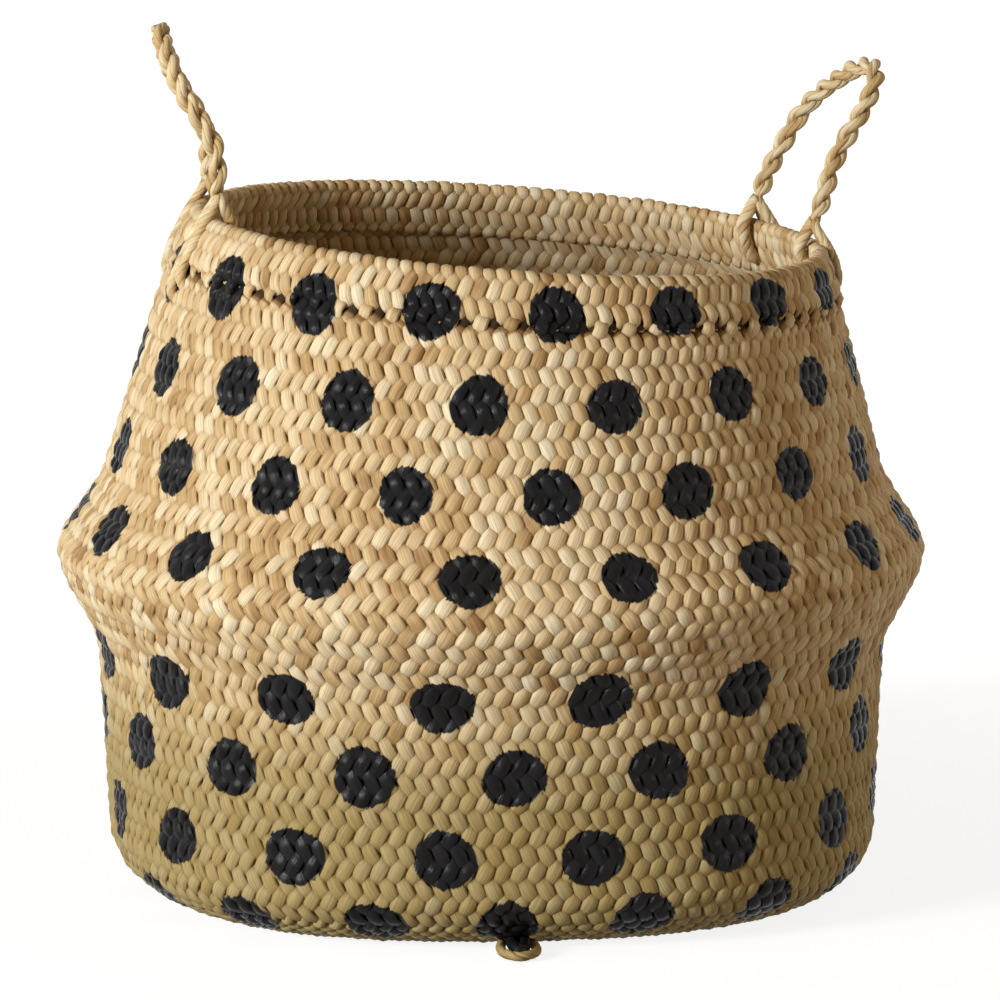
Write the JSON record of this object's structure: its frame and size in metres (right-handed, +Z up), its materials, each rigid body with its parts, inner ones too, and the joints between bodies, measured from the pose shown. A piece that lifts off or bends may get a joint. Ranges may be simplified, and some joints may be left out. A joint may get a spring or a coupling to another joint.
{
  "type": "collapsible wicker basket",
  "caption": "Round plaited seagrass belly basket with dark dots, a folded hem and twisted rope loop handles; the narrowing upper half folds down inside the lower half.",
  "frame": {"origin": "middle of the underside, on the ground", "axes": "+Z up, out of the mouth; -Y towards the picture's viewer; +X towards the lower side of the tilted rim, and the two handles stand near -X and +X"},
  "size_m": [0.32, 0.32, 0.3198],
  "materials": {
    "seagrass": "matte",
    "seagrass_green": "matte",
    "rope": "matte"
  },
  "bodies": {
    "lower_body": {"base_mat": "seagrass_green", "base_corner_tuft": "seagrass_green", "lower_wall": "seagrass_green", "belly": "seagrass"},
    "fold_ring_1": {"fold_link_1": "seagrass"},
    "fold_ring_2": {"fold_link_2": "seagrass"},
    "fold_ring_3": {"fold_link_3": "seagrass"},
    "fold_ring_4": {"fold_link_4": "seagrass"},
    "fold_ring_5": {"fold_link_5": "seagrass"},
    "rim": {"collar": "seagrass", "hem": "seagrass", "left_lashing_1": "rope", "left_lashing_2": "rope", "right_lashing_1": "rope", "right_lashing_2": "rope"},
    "left_grip": {"left_handle": "rope"},
    "right_grip": {"right_handle": "rope"}
  },
  "joints": [
    {"name": "collapse", "type": "slide", "parent": "lower_body", "child": "rim", "axis": [0, 0, 1], "range_m": [-0.1, 0]},
    {"name": "fold_1", "type": "slide", "parent": "lower_body", "child": "fold_ring_1", "axis": [0, 0, 1], "range_m": [-0.004, 0]},
    {"name": "fold_2", "type": "slide", "parent": "lower_body", "child": "fold_ring_2", "axis": [0, 0, 1], "range_m": [-0.0229, 0]},
    {"name": "fold_3", "type": "slide", "parent": "lower_body", "child": "fold_ring_3", "axis": [0, 0, 1], "range_m": [-0.0499, 0]},
    {"name": "fold_4", "type": "slide", "parent": "lower_body", "child": "fold_ring_4", "axis": [0, 0, 1], "range_m": [-0.0769, 0]},
    {"name": "fold_5", "type": "slide", "parent": "lower_body", "child": "fold_ring_5", "axis": [0, 0, 1], "range_m": [-0.0959, 0]},
    {"name": "left_handle_swing", "type": "hinge", "parent": "rim", "child": "left_grip", "pos_m": [-0.10232, -0.00555, 0.2593], "axis": [0.0502, -0.9987, -0.0039], "range_deg": [-95, 60]},
    {"name": "right_handle_swing", "type": "hinge", "parent": "rim", "child": "right_grip", "pos_m": [0.11132, 0.03206, 0.24372], "axis": [-0.2915, 0.9564, 0.02], "range_deg": [-95, 35]}
  ],
  "couplings": [
    {"joint": "fold_1", "follows": "collapse", "ratio": 0.0399},
    {"joint": "fold_2", "follows": "collapse", "ratio": 0.228},
    {"joint": "fold_3", "follows": "collapse", "ratio": 0.498},
    {"joint": "fold_4", "follows": "collapse", "ratio": 0.7685},
    {"joint": "fold_5", "follows": "collapse", "ratio": 0.9584}
  ]
}
